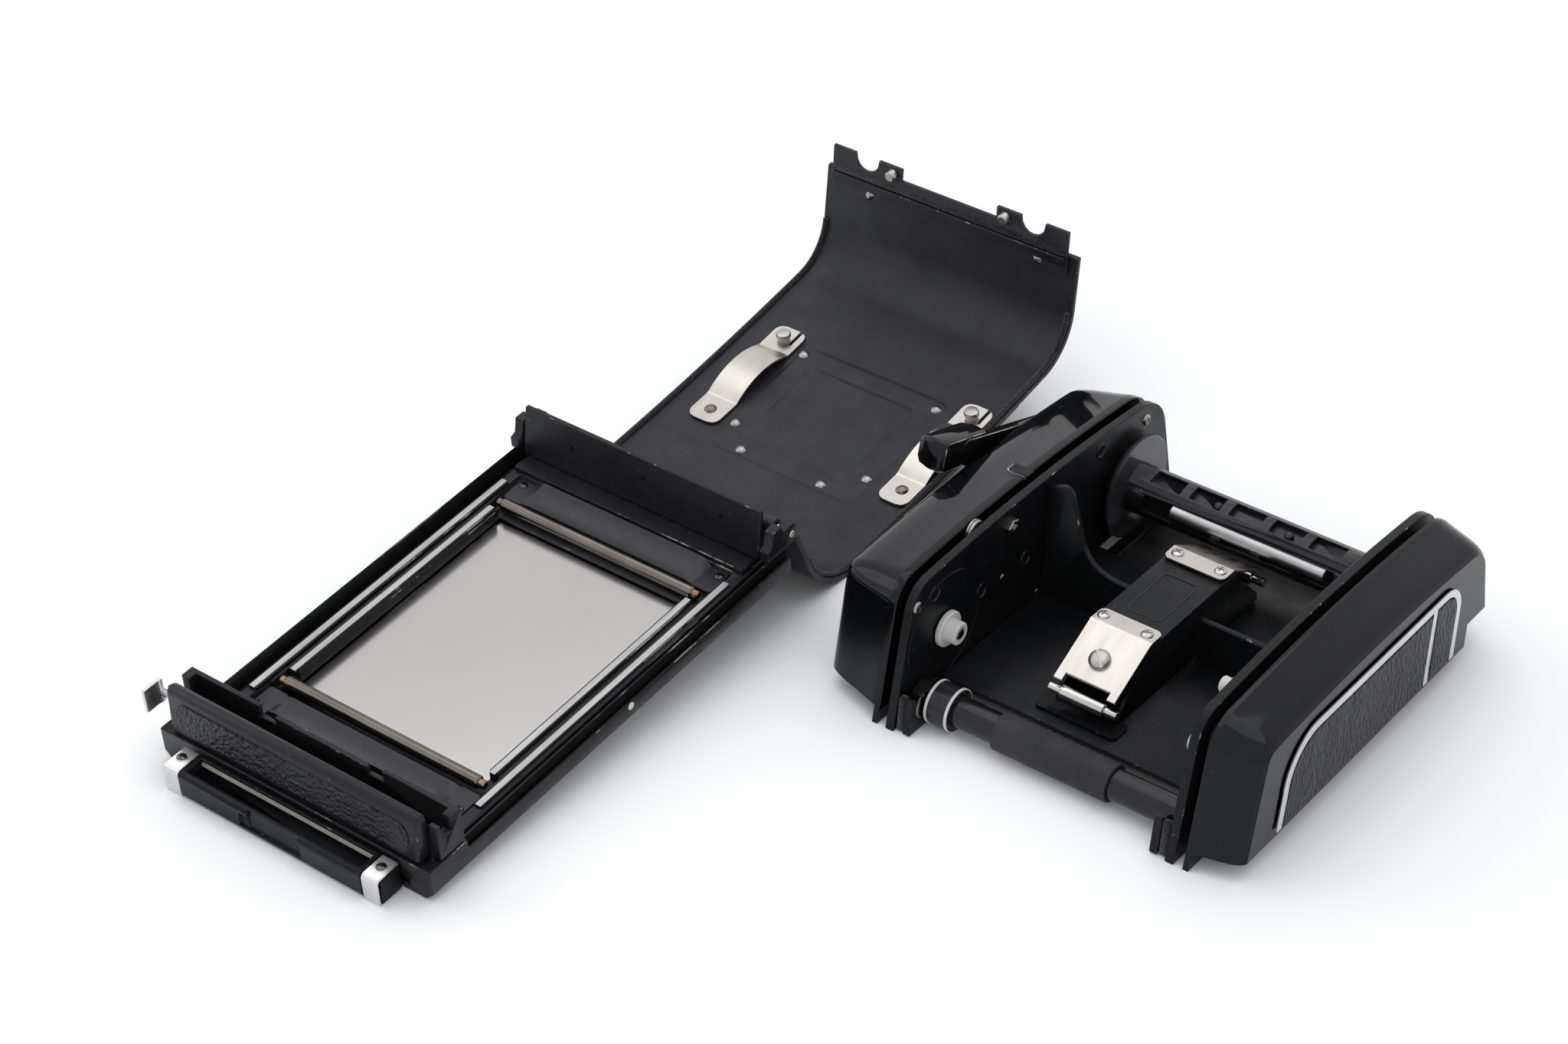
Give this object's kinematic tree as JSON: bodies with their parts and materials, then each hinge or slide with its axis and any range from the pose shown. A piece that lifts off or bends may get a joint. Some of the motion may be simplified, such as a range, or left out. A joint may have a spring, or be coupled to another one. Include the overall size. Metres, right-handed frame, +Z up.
{
  "type": "roll film holder",
  "caption": "Medium-format roll-film holder opened flat: gated frame with dark slide, hinged dished back cover, and lift-out insert with spool studs, rollers, take-up spool and wind lever.",
  "frame": {"origin": "on the table plane, under the centre of the box round the opened holder and its insert", "axes": "+X across the film from the wind-lever side to the grip side, +Y from the dark-slide handle towards the opened cover, +Z up"},
  "size_m": [0.216, 0.2536, 0.0504],
  "materials": {
    "satin_black": "satin black enamel, rubbed bright at the edges",
    "gloss_black": "gloss black enamel",
    "black_sheet": "matt charcoal light-trap paint on sheet metal",
    "slide_steel": "polished stainless sheet, faint smudges",
    "dark_steel": "dark polished steel",
    "polished_steel": "polished steel",
    "nickel": "satin nickel-plated spring steel",
    "satin_chrome": "satin chrome",
    "leatherette": "grained black leatherette",
    "felt": "black light-trap felt",
    "nylon": "white nylon",
    "black_plastic": "black moulded plastic",
    "rubber": "ground black rubber"
  },
  "bodies": {
    "holder": {"main_frame": "satin_black", "front_wall": "satin_black", "front_leather": "leatherette", "slot_wall": "satin_black", "hinge_wall": "black_sheet", "hinge_bracket_left": "satin_black", "hinge_bracket_right": "satin_black", "hinge_pin": "dark_steel", "front_retainer": "black_sheet", "rear_retainer": "black_sheet"},
    "front_roller": {"front_gate_roller": "dark_steel"},
    "rear_roller": {"rear_gate_roller": "dark_steel"},
    "latch": {"cover_latch": "satin_chrome"},
    "slide": {"dark_slide": "slide_steel", "slide_handle": "black_plastic", "slide_cap_left": "satin_chrome", "slide_cap_right": "satin_chrome"},
    "back_cover": {"cover_shell": "black_sheet", "cover_hinge_leaf": "satin_black", "cover_felt_left": "felt", "cover_felt_right": "felt", "lip_plate": "black_sheet", "lip_bar": "felt", "lip_pin_left": "dark_steel", "lip_pin_right": "dark_steel", "spool_spring_left": "nickel", "spool_spring_right": "nickel", "spring_stud_left": "polished_steel", "spring_stud_right": "polished_steel", "memo_holder": "satin_black"},
    "insert": {"insert_floor": "black_sheet", "side_plate_left": "satin_black", "side_plate_right": "satin_black", "groove_felt_left": "felt", "groove_felt_right": "felt", "cheek_left": "gloss_black", "cheek_right": "gloss_black", "grip_trim": "satin_chrome", "grip_leather_front": "leatherette", "grip_leather_rear": "leatherette", "cross_wall_left": "black_sheet", "cross_wall_right": "black_sheet", "bridge": "satin_black", "leaf_spring_front": "nickel", "leaf_spring_rear": "nickel"},
    "film_plate": {"pressure_plate": "satin_black"},
    "front_leaf_roller": {"leaf_roller_front": "polished_steel"},
    "rear_leaf_roller": {"leaf_roller_rear": "polished_steel"},
    "meter": {"metering_roller": "dark_steel", "metering_sleeve": "rubber", "metering_collar": "black_plastic"},
    "guide": {"guide_roller": "dark_steel"},
    "supply_left": {"supply_stud_left": "nylon"},
    "supply_right": {"supply_stud_right": "nylon"},
    "takeup_right": {"takeup_stud": "nylon"},
    "take_up": {"takeup_spool": "black_plastic", "drive_shaft": "polished_steel"},
    "lever": {"wind_lever": "black_plastic"},
    "counter": {"counter_roller": "satin_chrome"}
  },
  "joints": [
    {"name": "front_roller_spin", "type": "hinge", "parent": "holder", "child": "front_roller", "pos_m": [-0.06345, -0.09061, 0.00923], "axis": [1, 0, 0], "continuous": true},
    {"name": "rear_roller_spin", "type": "hinge", "parent": "holder", "child": "rear_roller", "pos_m": [-0.06345, -0.01644, 0.01716], "axis": [1, 0, 0], "continuous": true},
    {"name": "latch_slide", "type": "slide", "parent": "holder", "child": "latch", "axis": [1, 0, 0], "range_m": [0, 0.003], "stiffness_N_per_m": 300},
    {"name": "dark_slide_pull", "type": "slide", "parent": "holder", "child": "slide", "axis": [0, -0.9943, -0.1063], "range_m": [0, 0.1]},
    {"name": "cover_hinge", "type": "hinge", "parent": "holder", "child": "back_cover", "pos_m": [-0.06345, 0.00693, 0.02529], "axis": [1, 0, 0], "range_deg": [0, 176.2]},
    {"name": "insert_lift", "type": "slide", "parent": "holder", "child": "insert", "axis": [0, 0, 1], "range_m": [0, 0.12]},
    {"name": "film_plate_spring", "type": "slide", "parent": "insert", "child": "film_plate", "axis": [0, 0, 1], "range_m": [0, 0.0008], "stiffness_N_per_m": 400},
    {"name": "front_leaf_roller_spin", "type": "hinge", "parent": "insert", "child": "front_leaf_roller", "pos_m": [0.05235, 0.01337, 0.0099], "axis": [1, 0, 0], "continuous": true},
    {"name": "rear_leaf_roller_spin", "type": "hinge", "parent": "insert", "child": "rear_leaf_roller", "pos_m": [0.05235, 0.07707, 0.0099], "axis": [1, 0, 0], "continuous": true},
    {"name": "meter_spin", "type": "hinge", "parent": "insert", "child": "meter", "pos_m": [0.05415, -0.00213, 0.0056], "axis": [1, 0, 0], "continuous": true},
    {"name": "guide_spin", "type": "hinge", "parent": "insert", "child": "guide", "pos_m": [0.05415, 0.10137, 0.006], "axis": [1, 0, 0], "continuous": true},
    {"name": "supply_stud_spin", "type": "hinge", "parent": "insert", "child": "supply_left", "pos_m": [0.05235, 0.00737, 0.0183], "axis": [1, 0, 0], "continuous": true},
    {"name": "supply_stud_pull", "type": "slide", "parent": "insert", "child": "supply_right", "axis": [1, 0, 0], "range_m": [0, 0.004], "stiffness_N_per_m": 300},
    {"name": "takeup_stud_pull", "type": "slide", "parent": "insert", "child": "takeup_right", "axis": [1, 0, 0], "range_m": [0, 0.004], "stiffness_N_per_m": 300},
    {"name": "wind_lever_stroke", "type": "hinge", "parent": "insert", "child": "lever", "pos_m": [0.05235, 0.08357, 0.0168], "axis": [-1, 0, 0], "range_deg": [0, 130], "stiffness_Nm_per_rad": 0.02},
    {"name": "take_up_turn", "type": "hinge", "parent": "insert", "child": "take_up", "pos_m": [0.05235, 0.08357, 0.0168], "axis": [-1, 0, 0], "range_deg": [0, 130]},
    {"name": "counter_press", "type": "slide", "parent": "insert", "child": "counter", "axis": [0, 0, -1], "range_m": [0, 0.002], "stiffness_N_per_m": 200}
  ],
  "couplings": [
    {"joint": "take_up_turn", "follows": "wind_lever_stroke", "ratio": 1}
  ]
}
